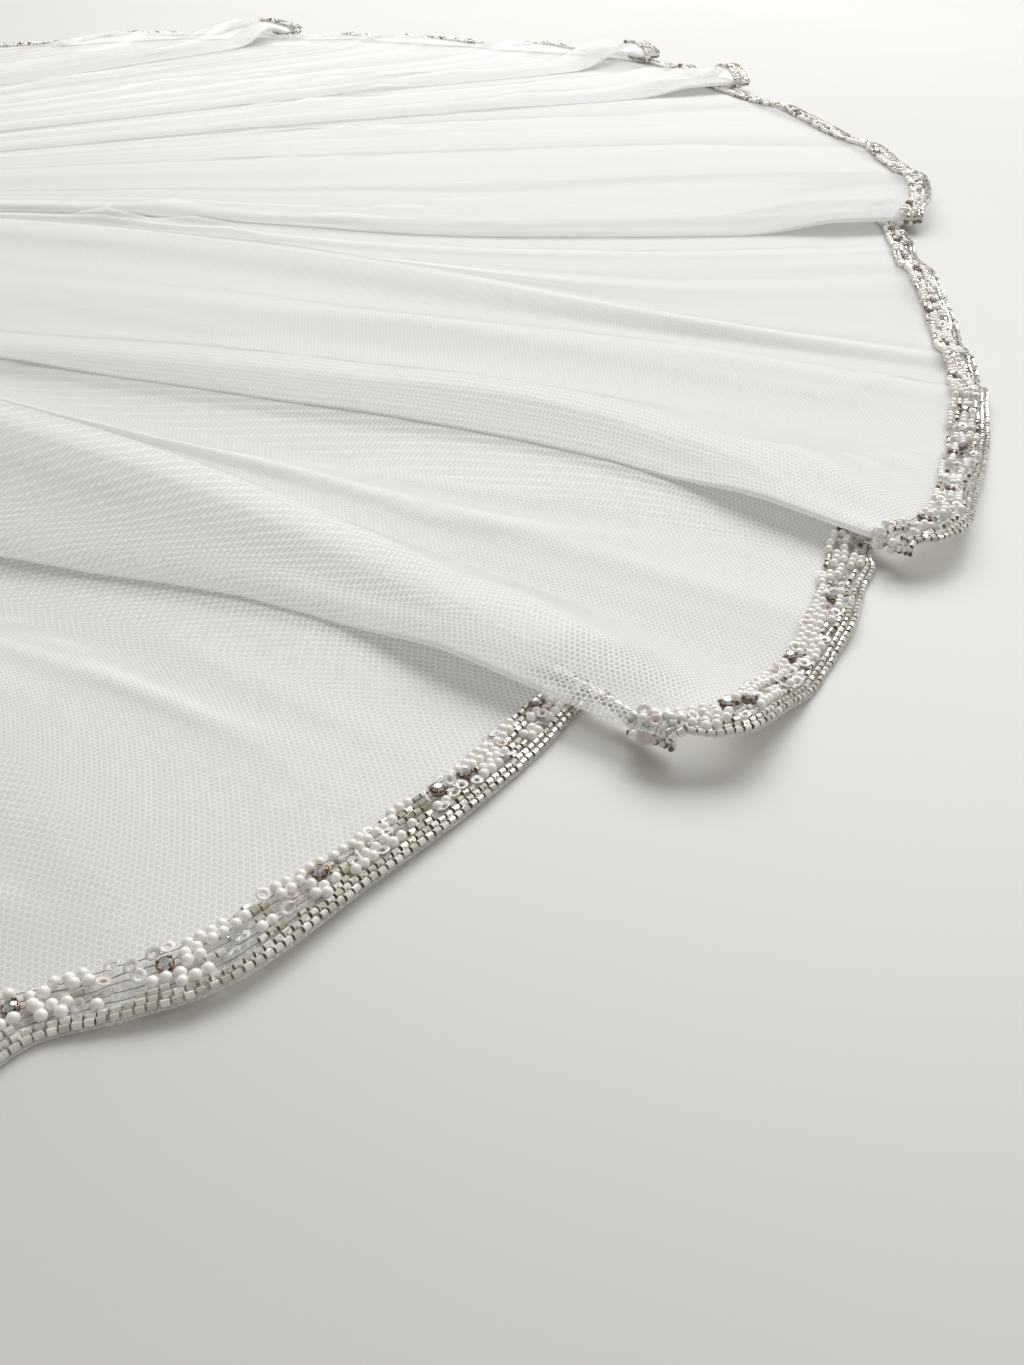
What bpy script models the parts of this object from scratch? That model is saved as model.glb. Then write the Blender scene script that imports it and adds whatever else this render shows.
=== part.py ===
# Bridal veil laid out on a surface: one tulle panel gathered on a comb, with a beaded edging.
# Metres, +Z up. +X runs from the comb to the hem, and the origin is under the middle of the veil.

from collections import namedtuple
from math import cos, hypot, pi, radians, sin

import bmesh
import bpy
import numpy as np

# Overall sizes
GATHER_X = -0.4244
GATHER_Y = 0.005
COMB_WIDTH = 0.100
WALL = 0.0010
SEAM = 0.0003

# Beaded edging, measured in from the hem
TRIM_WIDTH = 0.017
TUBE_BAND_WIDTH = 0.0044
TUBE_BAND_HEIGHT = 0.0018
BEAD_BAND_HEIGHT = 0.0023
TRIM_START_SHARE = 0.14
TRIM_FULL_AT = 0.20

# Comb
COMB_THICKNESS = 0.0016
BAR_BACK = 0.007
BAR_FRONT = 0.004
TOOTH_COUNT = 22
TOOTH_LENGTH = 0.036
TOOTH_ROOT_WIDTH = 0.0022
TOOTH_TIP_WIDTH = 0.0010

# Gathers at the comb
HEADING_BACK = 0.005
GATHER_COUNT = 16
GATHER_HEIGHT = 0.0016
GATHER_FADE_FROM, GATHER_FADE_TO = 0.02, 0.12
SIDE_ANGLE = 81.0
BAR_SLOPE_FROM, BAR_SLOPE_TO = 0.005, 0.024

# Pleats that lie over themselves: radii of the lower and the upper turn
LOWER_TURN_AT_HEM = 0.0034
LOWER_TURN_INSIDE = 0.0014
UPPER_TURN = 0.0011
TURN_SHIFT = 0.0004
TOP_STEP = 0.0011
TURN_SWELL_FROM = 0.90
TURN_STEPS = 3

# Shares of the way to the hem between which each thing grows from the gathers to its full size
LINES_FULL = 0.17
RISE_FULL = 0.09
TURNS_FROM, TURNS_FULL = 0.04, 0.17
OVERLAP_FROM, OVERLAP_FULL = 0.17, 0.38
RELIEF_FROM, RELIEF_FULL = 0.06, 0.36
# The turns' own normals hold from here on, and the others are smoothed this many times
NORMALS_FROM = 0.15
NORMAL_SMOOTHING = 1

# Shares of the way from the comb to the inner edge of the edging
ROWS = (0.0, 0.015, 0.045, 0.09, 0.125, 0.17, 0.28, 0.41, 0.55, 0.69, 0.81, 0.91, 1.0)
# Shares at which the tables below give their values
ANGLE_STOPS = (0.45, 0.72, 0.87, 1.0)
HEIGHT_STOPS = (0.45, 0.75, 1.0)
FLAT_HALF_WIDTH = 0.42

# Fold lines in order round the fan. Angles in degrees about the gather at the four stops, from the
# inside out, then the hem's radius in metres, then the fold's height in millimetres at three stops.
Line = namedtuple("Line", "kind, angles, radius, heights")
# A pleat has its middle's angles, the angles it overlaps, the hem's radius under it, at its fold
# and on its crest, how far its top layer puffs up, and how far the cloth under its fold is lifted.
Pleat = namedtuple(
    "Pleat", "name, angles, overlaps, radius_under, radius_fold, radius_crest, puffs, lifts"
)


def edge(angles, radius):
    return Line("edge", angles, radius, (0, 0, 0))


def flat(angles, radius):
    return Line("flat", angles, radius, (0, 0, 0))


def ridge(angles, radius, heights):
    return Line("ridge", angles, radius, heights)


FAN = (
    edge((-SIDE_ANGLE, -76.0, -73.5, -72.0), 0.500),
    flat((-77.0, -72.5, -70.3, -69.0), 0.560),
    ridge((-72.5, -68.5, -66.5, -65.5), 0.612, (6, 6, 4)),
    flat((-68.5, -65.0, -63.0, -62.0), 0.650),
    Pleat(
        "near_side", (-64.0, -61.0, -59.0, -58.0), (4.0, 4.0, 3.2, 2.6),
        0.682, 0.694, 0.694, (5, 5, 3), (0, 0, 0),
    ),
    flat((-59.5, -56.5, -54.8, -53.8), 0.725),
    ridge((-56.0, -53.2, -51.8, -51.0), 0.745, (8, 8, 5)),
    flat((-52.5, -50.2, -49.0, -48.3), 0.765),
    ridge((-49.8, -48.0, -47.0, -46.6), 0.774, (5, 4, 2)),
    flat((-47.2, -45.8, -45.2, -44.9), 0.783),
    ridge((-42.8, -41.4, -41.1, -42.2), 0.799, (7, 6, 2)),
    flat((-40.6, -40.2, -37.0, -35.7), 0.803),
    Pleat(
        "front", (-34.4, -33.9, -32.6, -33.5), (6.0, 7.4, 3.0, 1.0),
        0.802, 0.832, 0.847, (6, 7, 0.5), (3, 3, 0.5),
    ),
    flat((-29.8, -29.2, -29.6, -30.3), 0.850),
    ridge((-28.9, -28.4, -28.2, -28.6), 0.850, (1, 2, 2)),
    flat((-28.0, -27.6, -26.8, -26.6), 0.847),
    Pleat(
        "middle", (-26.0, -22.9, -22.2, -25.1), (1.4, 3.0, 3.0, 0.9),
        0.845, 0.857, 0.869, (3, 5, 0.5), (2, 3, 0.5),
    ),
    flat((-22.4, -18.9, -19.0, -19.4), 0.870),
    ridge((-15.6, -15.9, -15.6, -16.4), 0.868, (5, 6, 3)),
    flat((-9.8, -13.0, -14.3, -15.3), 0.866),
    ridge((-3.9, -9.9, -13.1, -14.3), 0.864, (7, 7, 3)),
    flat((-3.0, -8.9, -11.6, -12.4), 0.861),
    ridge((-2.1, -7.9, -9.8, -7.8), 0.856, (1, 2, 5)),
    flat((-1.2, -6.8, -6.8, -5.2), 0.855),
    ridge((-0.3, -5.6, -5.4, -4.2), 0.856, (2, 2, 1)),
    flat((0.6, -4.7, -4.3, -3.1), 0.857),
    Pleat(
        "far", (2.0, -2.3, -1.8, -0.6), (1.2, 2.2, 2.4, 2.6),
        0.858, 0.866, 0.880, (3, 3, 4), (0, 0, 0),
    ),
    ridge((5.0, 2.0, 4.0, 4.4), 0.895, (4, 6, 3)),
    flat((8.0, 6.2, 7.0, 6.6), 0.897),
    ridge((11.8, 10.6, 10.2, 9.0), 0.896, (7, 7, 3)),
    flat((16.6, 14.6, 13.6, 12.6), 0.893),
    ridge((20.0, 18.8, 17.8, 16.8), 0.888, (6, 7, 3)),
    flat((22.0, 21.3, 20.6, 20.0), 0.886),
    Pleat(
        "back", (24.4, 23.9, 23.3, 22.8), (1.6, 2.0, 2.0, 1.7),
        0.884, 0.894, 0.897, (4, 5, 5), (0, 0, 0),
    ),
    flat((27.2, 26.8, 26.2, 25.6), 0.895),
    ridge((29.0, 28.5, 27.8, 27.2), 0.894, (5, 5, 3)),
    flat((30.6, 30.0, 29.3, 28.6), 0.892),
    Pleat(
        "back_end", (33.0, 32.2, 31.3, 30.6), (1.6, 2.0, 2.0, 1.6),
        0.889, 0.888, 0.887, (4, 4, 4), (0, 0, 0),
    ),
    flat((36.2, 35.2, 34.2, 33.4), 0.874),
    ridge((39.4, 38.0, 37.0, 36.2), 0.850, (7, 7, 4)),
    flat((42.8, 41.2, 40.2, 39.4), 0.820),
    ridge((46.8, 45.0, 43.8, 43.0), 0.795, (6, 6, 3)),
    flat((51.0, 49.0, 47.8, 47.0), 0.770),
    Pleat(
        "far_side", (57.0, 54.4, 53.0, 52.0), (3.0, 3.4, 3.0, 2.4),
        0.732, 0.724, 0.721, (5, 5, 3), (0, 0, 0),
    ),
    flat((62.8, 59.8, 58.0, 57.0), 0.680),
    ridge((67.6, 64.2, 62.2, 61.0), 0.640, (6, 6, 4)),
    flat((72.6, 68.8, 66.5, 65.2), 0.592),
    ridge((76.8, 72.4, 70.0, 68.6), 0.548, (4, 4, 2)),
    edge((SIDE_ANGLE, 76.0, 73.5, 72.0), 0.500),
)

COLOURS = {
    "tulle": (0.93, 0.92, 0.89),
    "silver_beads": (0.80, 0.79, 0.76),
    "mixed_beads": (0.88, 0.86, 0.81),
    "comb": (0.75, 0.75, 0.76),
}


def clear_scene():
    for obj in list(bpy.data.objects):
        bpy.data.objects.remove(obj, do_unlink=True)


def material(name, roughness, metallic=0.0):
    made = bpy.data.materials.new(name)
    made.use_nodes = True
    shader = made.node_tree.nodes["Principled BSDF"]
    shader.inputs["Base Color"].default_value = (*COLOURS[name], 1.0)
    shader.inputs["Roughness"].default_value = roughness
    shader.inputs["Metallic"].default_value = metallic
    return made


def ease(low, high, value):
    share = min(max((value - low) / (high - low), 0.0), 1.0)
    return share * share * (3 - 2 * share)


def between(stops, values, share):
    return float(np.interp(share, stops, values))


def fold_height(heights, share):
    """Height of a fold above the flat cloth, less near the comb, where the gathers take over."""
    height = between(HEIGHT_STOPS, heights, share) / 1000
    return height * ease(RELIEF_FROM, RELIEF_FULL, share)


# A section is the list of points across the fan at one share of the way to the hem. Each has its
# angle, its offset along the fan, its height, the hem's radius there, and the cloth's normal as
# (along, up) in a turn, or None.
Point = namedtuple("Point", "angle, offset, height, radius, normal")


def flat_points(line, share):
    angle = between(ANGLE_STOPS, line.angles, share)
    return [
        Point(angle + side * FLAT_HALF_WIDTH, 0.0, 0.0, line.radius, (0.0, 1.0))
        for side in (-1, 1)
    ]


def slope_point(start, end):
    """A point half-way up or down the slope between two others."""
    return Point(
        (start.angle + end.angle) / 2,
        (start.offset + end.offset) / 2,
        (start.height + end.height) / 2,
        (start.radius + end.radius) / 2,
        None,
    )


def pleat_points(pleat, share):
    """One pleat: the cloth under its fold, the lower turn, the layer that runs back, the upper
    turn and the top layer."""
    middle = between(ANGLE_STOPS, pleat.angles, share)
    overlap = between(ANGLE_STOPS, pleat.overlaps, share) * ease(OVERLAP_FROM, OVERLAP_FULL, share)
    puff = fold_height(pleat.puffs, share)
    lift = fold_height(pleat.lifts, share)
    swell = ease(TURN_SWELL_FROM, 1.0, share)
    lower = LOWER_TURN_INSIDE + (LOWER_TURN_AT_HEM - LOWER_TURN_INSIDE) * swell
    left, right = middle - overlap / 2, middle + overlap / 2
    under, fold, crest = pleat.radius_under, pleat.radius_fold, pleat.radius_crest
    points = [Point(left, 0.0, lift, under, None)]
    for step in range(TURN_STEPS + 1):
        turn = -pi / 2 + pi * step / TURN_STEPS
        along, up = cos(turn), sin(turn)
        points.append(
            Point(
                right, TURN_SHIFT + lower * along, lower + lower * up, under, (-along, -up)
            )
        )
    for step in range(TURN_STEPS + 1):
        turn = -pi / 2 + pi * step / TURN_STEPS
        along, up = cos(turn), sin(turn)
        height = lift + 2 * lower + UPPER_TURN + UPPER_TURN * up
        back = -TURN_SHIFT - UPPER_TURN * along
        points.append(Point(left, back, height, fold, (-along, up)))
    top = 2 * (lower + UPPER_TURN)
    rising = fold + (crest - fold) / 2
    rise = top + 0.75 * puff + 0.5 * lift
    points.append(Point(left + 0.35 * overlap, TOP_STEP, rise, rising, None))
    points.append(Point(right, 2 * TOP_STEP, top + puff, crest, None))
    return points


def section(share):
    points = []
    slope_next = False
    for line in FAN:
        if isinstance(line, Pleat):
            new = pleat_points(line, share)
            sloped = False
        elif line.kind == "ridge":
            angle = between(ANGLE_STOPS, line.angles, share)
            height = fold_height(line.heights, share)
            new = [Point(angle, 0.0, height, line.radius, None)]
            sloped = True
        elif line.kind == "flat":
            new = flat_points(line, share)
            sloped = False
        else:
            angle = between(ANGLE_STOPS, line.angles, share)
            new = [Point(angle, 0.0, 0.0, line.radius, (0.0, 1.0))]
            sloped = False
        if points and (slope_next or sloped):
            points.append(slope_point(points[-1], new[0]))
        points += new
        slope_next = sloped or isinstance(line, Pleat)
    return points


def bar_lift(x, y):
    """How far the cloth is lifted to pass over the comb's bar."""
    past_front = max(x - (GATHER_X + BAR_FRONT), GATHER_X - BAR_BACK - x, 0.0)
    past_end = max(abs(y - GATHER_Y) - COMB_WIDTH / 2, 0.0)
    distance = (past_front**2 + past_end**2) ** 0.5
    return (COMB_THICKNESS + SEAM) * (1 - ease(BAR_SLOPE_FROM, BAR_SLOPE_TO, distance))


def fan_point(angle, reach, share):
    """A place on the fan. Its lines leave the comb square to it and bend out to their angles."""
    x = GATHER_X - HEADING_BACK * (1 - share) + reach * cos(angle)
    y = GATHER_Y + hypot(reach, COMB_WIDTH / 2) * sin(angle)
    return x, y


def gather_wave(angle, share):
    """Height of the gathers, which are even along the comb and fade out on the way to the hem."""
    phase = 2 * pi * GATHER_COUNT * (sin(angle) / sin(radians(SIDE_ANGLE)) + 1) / 2
    return GATHER_HEIGHT * (1 - cos(phase)) / 2 * (1 - ease(GATHER_FADE_FROM, GATHER_FADE_TO, share))


def middle_surface():
    """Points half-way through the cloth, by row and column, and the turns' own normals."""
    rows, normals = [], []
    for share in ROWS:
        points = section(share)
        spread = ease(0.0, LINES_FULL, share)
        risen = ease(0.0, RISE_FULL, share)
        opened = ease(TURNS_FROM, TURNS_FULL, share)
        row, row_normals = [], []
        for index, point in enumerate(points):
            even = SIDE_ANGLE * (2 * index / (len(points) - 1) - 1)
            angle = radians(even + (point.angle - even) * spread)
            x, y = fan_point(angle, share * (point.radius - TRIM_WIDTH), share)
            along_x, along_y = -sin(angle), cos(angle)
            x += along_x * point.offset * opened
            y += along_y * point.offset * opened
            z = WALL / 2 + point.height * risen + gather_wave(angle, share) + bar_lift(x, y)
            row.append((x, y, z))
            if point.normal is None or share < NORMALS_FROM:
                row_normals.append((0.0, 0.0, 0.0))
            else:
                along, up = point.normal
                row_normals.append((along_x * along, along_y * along, up))
        rows.append(row)
        normals.append(row_normals)
    return np.array(rows), np.array(normals)


def surface_normals(grid, given):
    """The given normals, and elsewhere those of the surface through the neighbouring points."""
    out = np.gradient(grid, axis=0)
    across = np.gradient(grid, axis=1)
    found = np.cross(out, across)
    found /= np.linalg.norm(found, axis=2, keepdims=True)
    for _ in range(NORMAL_SMOOTHING):
        found[:, 1:-1] = found[:, :-2] + 2 * found[:, 1:-1] + found[:, 2:]
        found /= np.linalg.norm(found, axis=2, keepdims=True)
    has_own = np.linalg.norm(given, axis=2, keepdims=True) > 0.5
    return np.where(has_own, given, found)


def border_walk(row_count, column_count):
    """The panel's edge from the comb, down one side, along the hem and back up the other side."""
    side = [(row, 0) for row in range(row_count - 1)]
    hem = [(row_count - 1, column) for column in range(column_count)]
    other = [(row, column_count - 1) for row in range(row_count - 2, -1, -1)]
    return side + hem + other


def outward_directions(grid, walk):
    """The level way out of the cloth at each place of the walk, longer at the corners.
    It is short beside the comb, where the edging starts narrow."""
    last_row, last_column = grid.shape[0] - 1, grid.shape[1] - 1
    found = []
    for row, column in walk:
        hem_way = (grid[last_row, column] - grid[last_row - 1, column])[:2]
        hem_way /= np.linalg.norm(hem_way)
        low, high = max(row - 1, 0), min(row + 1, last_row)
        edge_way = (grid[high, column] - grid[low, column])[:2]
        edge_way /= np.linalg.norm(edge_way)
        if column == 0:
            side_way = np.array((edge_way[1], -edge_way[0]))
        else:
            side_way = np.array((-edge_way[1], edge_way[0]))
        if row < last_row:
            way = side_way
        elif column in (0, last_column):
            way = (hem_way + side_way) / (1 + hem_way @ side_way)
        else:
            way = hem_way
        widening = ease(0.0, TRIM_FULL_AT, ROWS[row])
        way *= TRIM_START_SHARE + (1 - TRIM_START_SHARE) * widening
        found.append((way[0], way[1], 0.0))
    return np.array(found)


def wall_solid(name, points, normals, quads, below, above, finish, collection):
    """A closed wall along a sheet of quads: the sheet moved by two distances, joined at its rim."""
    mesh = bmesh.new()
    low = [mesh.verts.new(point) for point in points + normals * below]
    high = [mesh.verts.new(point) for point in points + normals * above]
    used = set()
    for a, b, c, d in quads:
        mesh.faces.new((high[a], high[b], high[c]))
        mesh.faces.new((high[a], high[c], high[d]))
        mesh.faces.new((low[a], low[c], low[b]))
        mesh.faces.new((low[a], low[d], low[c]))
        used |= {(a, b), (b, c), (c, d), (d, a)}
    for a, b in sorted(used):
        if (b, a) not in used:
            mesh.faces.new((low[a], low[b], high[b]))
            mesh.faces.new((low[a], high[b], high[a]))
    data = bpy.data.meshes.new(name)
    mesh.to_mesh(data)
    mesh.free()
    data.shade_smooth()
    data.set_sharp_from_angle(angle=radians(50))
    made = bpy.data.objects.new(name, data)
    made.data.materials.append(finish)
    collection.objects.link(made)
    return made


def strip_quads(length, width):
    """Quads of a strip whose points run across it first, at each place along it."""
    return [
        (
            place * width + side,
            place * width + side + 1,
            (place + 1) * width + side + 1,
            (place + 1) * width + side,
        )
        for place in range(length - 1)
        for side in range(width - 1)
    ]


def build_cloth(collection):
    grid, given = middle_surface()
    normals = surface_normals(grid, given)
    row_count, column_count = grid.shape[:2]
    walk = border_walk(row_count, column_count)
    outward = outward_directions(grid, walk)
    inner = np.array([grid[place] for place in walk])
    border_normals = np.array([normals[place] for place in walk])
    seam_line = inner + outward * (TRIM_WIDTH - TUBE_BAND_WIDTH)
    hem = inner + outward * TRIM_WIDTH

    lattice = np.arange(row_count * column_count).reshape(row_count, column_count)
    quads = [
        (lattice[r, c], lattice[r + 1, c], lattice[r + 1, c + 1], lattice[r, c + 1])
        for r in range(row_count - 1)
        for c in range(column_count - 1)
    ]
    inner_index = [lattice[place] for place in walk]
    seam_index = [lattice.size + k for k in range(len(walk))]
    hem_index = [lattice.size + len(walk) + k for k in range(len(walk))]
    for k in range(len(walk) - 1):
        for near, far in ((inner_index, seam_index), (seam_index, hem_index)):
            quads.append((near[k], far[k], far[k + 1], near[k + 1]))
    points = np.concatenate([grid.reshape(-1, 3), seam_line, hem])
    all_normals = np.concatenate([normals.reshape(-1, 3), border_normals, border_normals])
    tulle = material("tulle", 0.7)
    wall_solid(
        "tulle_panel", points, all_normals, quads, -WALL / 2, WALL / 2, tulle, collection
    )

    base = WALL / 2 + SEAM
    gap = outward / np.linalg.norm(outward, axis=1, keepdims=True) * SEAM
    count = len(walk)
    tube_points = np.stack([seam_line + gap, hem - gap], axis=1).reshape(-1, 3)
    wall_solid(
        "tube_bead_rows",
        tube_points,
        np.repeat(border_normals, 2, axis=0),
        strip_quads(count, 2),
        base,
        base + TUBE_BAND_HEIGHT,
        material("silver_beads", 0.2, 0.6),
        collection,
    )
    bead_points = np.stack([inner + gap, seam_line - gap], axis=1).reshape(-1, 3)
    wall_solid(
        "mixed_bead_band",
        bead_points,
        np.repeat(border_normals, 2, axis=0),
        strip_quads(count, 2),
        base,
        base + BEAD_BAND_HEIGHT,
        material("mixed_beads", 0.3),
        collection,
    )


def comb_outline():
    back = GATHER_X - BAR_BACK
    half = COMB_WIDTH / 2
    outline = [(GATHER_X + BAR_FRONT, GATHER_Y - half), (GATHER_X + BAR_FRONT, GATHER_Y + half)]
    pitch = (COMB_WIDTH - TOOTH_ROOT_WIDTH) / (TOOTH_COUNT - 1)
    for tooth in range(TOOTH_COUNT):
        middle = GATHER_Y + half - TOOTH_ROOT_WIDTH / 2 - tooth * pitch
        root, tip = TOOTH_ROOT_WIDTH / 2, TOOTH_TIP_WIDTH / 2
        outline += [
            (back, middle + root),
            (back - TOOTH_LENGTH, middle + tip),
            (back - TOOTH_LENGTH - tip, middle),
            (back - TOOTH_LENGTH, middle - tip),
            (back, middle - root),
        ]
    return outline


def build_comb(collection):
    outline = comb_outline()
    curve = bpy.data.curves.new("comb", "CURVE")
    curve.dimensions = "2D"
    curve.fill_mode = "BOTH"
    curve.extrude = COMB_THICKNESS / 2
    spline = curve.splines.new("POLY")
    spline.points.add(len(outline) - 1)
    for point, (x, y) in zip(spline.points, outline):
        point.co = (x, y, 0.0, 1.0)
    spline.use_cyclic_u = True
    comb = bpy.data.objects.new("comb", curve)
    comb.location.z = COMB_THICKNESS / 2
    comb.data.materials.append(material("comb", 0.25, 0.9))
    collection.objects.link(comb)


def main():
    clear_scene()
    collection = bpy.data.collections.new("bridal_veil")
    bpy.context.scene.collection.children.link(collection)
    build_cloth(collection)
    build_comb(collection)


main()
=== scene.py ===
from math import cos, hypot, pi, radians, sin
from random import Random

import bmesh
import bpy
import numpy as np
from mathutils import Matrix, Vector, noise


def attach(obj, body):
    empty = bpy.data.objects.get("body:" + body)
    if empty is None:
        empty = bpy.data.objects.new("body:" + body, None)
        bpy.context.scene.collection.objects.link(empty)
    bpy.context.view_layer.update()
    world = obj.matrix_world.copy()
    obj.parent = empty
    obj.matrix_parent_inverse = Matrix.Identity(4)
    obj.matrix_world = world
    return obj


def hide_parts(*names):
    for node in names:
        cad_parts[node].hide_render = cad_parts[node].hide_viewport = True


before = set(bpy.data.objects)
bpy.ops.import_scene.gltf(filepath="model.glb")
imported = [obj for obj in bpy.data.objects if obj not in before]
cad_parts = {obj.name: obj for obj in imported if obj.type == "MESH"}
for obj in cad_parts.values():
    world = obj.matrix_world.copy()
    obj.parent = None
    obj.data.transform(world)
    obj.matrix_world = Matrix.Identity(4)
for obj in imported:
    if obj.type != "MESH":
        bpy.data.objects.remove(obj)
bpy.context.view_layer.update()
mm = 0.001


# How the panel lies. Angles are in degrees about the gather, sizes in metres.
lay = {
    "gatherX": -0.4244,
    "gatherY": 0.005,
    "combWidth": 0.100,
    "headingBack": 0.005,
    "sideAngle": 81.0,
    "trimWidth": 0.017,
    "clothBase": 0.0002,  # the cloth's middle above the surface
    "gatherCount": 16,
    "gatherHeight": 0.0016,
    "gatherFade": (0.02, 0.12),  # shares between which the gathers run out
    "linesGrow": (0.0, 0.17),  # and between which the fold lines leave their even spacing,
    "riseGrow": (0.0, 0.09),  # the folds rise,
    "turnsGrow": (0.04, 0.17),  # the turns open
    "overlapGrow": (0.17, 0.38),  # and the pleats lie over themselves
    "barHeight": 0.0019,
    "barFront": 0.004,
    "barBack": 0.007,
    "barSlope": (0.005, 0.024),  # the net comes down from the bar between these distances
    "lowerTurnInside": 0.00036,
    "lowerTurnAtHem": 0.0028,
    "upperTurnInside": 0.00028,
    "upperTurnAtHem": 0.0011,
    "turnShift": 0.0004,
    "topStep": 0.0011,
    "turnSteps": 3,
    "trimClear": 0.003,  # a fold is fully open this far before the beads under it
    "swellLength": 0.06,  # the share of the way over which it opens
    "foldGap": 0.35,  # how far a fold's edge stays off the cloth under it, less than its turn
    "flatHalfWidth": 0.42,
    "columnSpacing": 0.0036,
    "farSide": (7, 15),  # angles between which the far side starts
    "farRim": (0.86, 0.97),  # shares between which its folds get their height back
    "farRelief": 0.45,  # how much of their height the folds keep on the far side
    "farCreases": 0.5,  # and how much the soft creases keep there
    "farRoll": 0.0068,  # the cloth's rise just inside the far hem
    "farRollAngles": (25, 31, 60, 70),
    "farRollShare": 0.975,
    "farRollWidth": 0.020,
    "rowParts": ((0.0, 0.18, 10), (0.18, 0.88, 26), (0.88, 1.0, 10)),  # close at both ends
    "sharpBend": 110.0,  # one over the radius at which a crest counts in full
    "valleyShare": 0.4,  # how much of that a valley counts, for the tulle's painted shade in valleys
}

# Shares of the way from the comb to the hem at which the lines below give their values
angleStops = (0.0, 0.45, 0.72, 0.87, 1.0)
heightStops = (0.0, 0.45, 0.75, 1.0)

# The fold lines round the fan: kind, angles at the last four stops, the hem's radius,
# and the height in mm at the last three. A pleat has its middle's angles, the angles that
# it overlaps, the radius under it, at its fold and on its crest, how far it puffs up and how far
# the cloth under its fold is lifted.
foldLines = [
    ("edge", (-81.0, -76.0, -73.5, -72.0), 0.500),
    ("flat", (-77.0, -72.5, -70.3, -69.0), 0.560),
    ("ridge", (-72.5, -68.5, -66.5, -65.5), 0.612, (6, 6, 4)),
    ("flat", (-68.5, -65.0, -63.0, -62.0), 0.650),
    ("pleat", (-64.0, -61.0, -59.0, -58.0), (4.0, 4.0, 3.2, 2.6), 0.682, 0.694, 0.694, (5, 5, 3), (0, 0, 0)),
    ("flat", (-59.5, -56.5, -54.8, -53.8), 0.725),
    ("ridge", (-56.0, -53.2, -51.8, -51.0), 0.745, (8, 8, 5)),
    ("flat", (-52.5, -50.2, -49.0, -48.3), 0.765),
    ("ridge", (-49.8, -48.0, -47.0, -46.6), 0.774, (5, 4, 2)),
    ("flat", (-47.2, -45.8, -45.2, -44.9), 0.783),
    ("ridge", (-42.8, -41.4, -41.1, -42.2), 0.799, (7, 6, 2)),
    ("flat", (-40.6, -40.2, -37.0, -35.7), 0.803),
    ("pleat", (-34.4, -33.9, -32.6, -33.5), (6.0, 7.4, 3.0, 1.0), 0.802, 0.832, 0.847,
     (6, 7, 0.5), (3, 3, 0.5)),
    ("flat", (-29.8, -29.2, -29.6, -30.3), 0.850),
    ("ridge", (-28.9, -28.4, -28.2, -28.6), 0.850, (1, 2, 2)),
    ("flat", (-28.0, -27.6, -26.8, -26.6), 0.847),
    ("pleat", (-26.0, -22.9, -22.2, -25.1), (1.4, 3.0, 3.0, 0.9), 0.845, 0.857, 0.869,
     (3, 5, 0.5), (2, 3, 0.5)),
    ("flat", (-22.4, -18.9, -19.0, -19.4), 0.870),
    ("ridge", (-15.6, -15.9, -15.6, -16.4), 0.868, (5, 6, 3)),
    ("flat", (-9.8, -13.0, -14.3, -15.3), 0.866),
    ("ridge", (-3.9, -9.9, -13.1, -14.3), 0.864, (7, 7, 3)),
    ("flat", (-3.0, -8.9, -11.6, -12.4), 0.861),
    ("ridge", (-2.1, -7.9, -9.8, -7.8), 0.856, (1, 2, 5)),
    ("flat", (-1.2, -6.8, -6.8, -5.2), 0.855),
    ("ridge", (-0.3, -5.6, -5.4, -4.2), 0.856, (2, 2, 1)),
    ("flat", (0.6, -4.7, -4.3, -3.1), 0.857),
    ("pleat", (2.0, -2.3, -1.8, -0.6), (1.2, 2.2, 2.4, 2.6), 0.858, 0.866, 0.880, (3, 3, 4), (0, 0, 0)),
    ("ridge", (5.0, 2.0, 4.0, 4.4), 0.895, (4, 6, 3)),
    ("flat", (8.0, 6.2, 7.0, 6.6), 0.897),
    ("ridge", (11.8, 10.6, 10.2, 9.0), 0.896, (7, 7, 3)),
    ("flat", (16.6, 14.6, 13.6, 12.6), 0.893),
    ("ridge", (20.0, 18.8, 17.8, 16.8), 0.888, (6, 7, 3)),
    ("flat", (22.0, 21.3, 20.6, 20.0), 0.886),
    ("pleat", (24.4, 23.9, 23.3, 22.8), (1.6, 2.0, 2.0, 1.7), 0.884, 0.894, 0.897, (4, 5, 5), (0, 0, 0)),
    ("flat", (27.2, 26.8, 26.2, 25.6), 0.895),
    ("ridge", (29.0, 28.5, 27.8, 27.2), 0.894, (5, 5, 3)),
    ("flat", (30.6, 30.0, 29.3, 28.6), 0.892),
    ("pleat", (33.0, 32.2, 31.3, 30.6), (1.6, 2.0, 2.0, 1.6), 0.889, 0.888, 0.887, (4, 4, 4), (0, 0, 0)),
    ("flat", (36.2, 35.2, 34.2, 33.4), 0.874),
    ("ridge", (39.4, 38.0, 37.0, 36.2), 0.850, (7, 7, 4)),
    ("flat", (42.8, 41.2, 40.2, 39.4), 0.820),
    ("ridge", (46.8, 45.0, 43.8, 43.0), 0.795, (6, 6, 3)),
    ("flat", (51.0, 49.0, 47.8, 47.0), 0.770),
    ("pleat", (57.0, 54.4, 53.0, 52.0), (3.0, 3.4, 3.0, 2.4), 0.732, 0.724, 0.721, (5, 5, 3), (0, 0, 0)),
    ("flat", (62.8, 59.8, 58.0, 57.0), 0.680),
    ("ridge", (67.6, 64.2, 62.2, 61.0), 0.640, (6, 6, 4)),
    ("flat", (72.6, 68.8, 66.5, 65.2), 0.592),
    ("ridge", (76.8, 72.4, 70.0, 68.6), 0.548, (4, 4, 2)),
    ("edge", (81.0, 76.0, 73.5, 72.0), 0.500),
]
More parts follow.
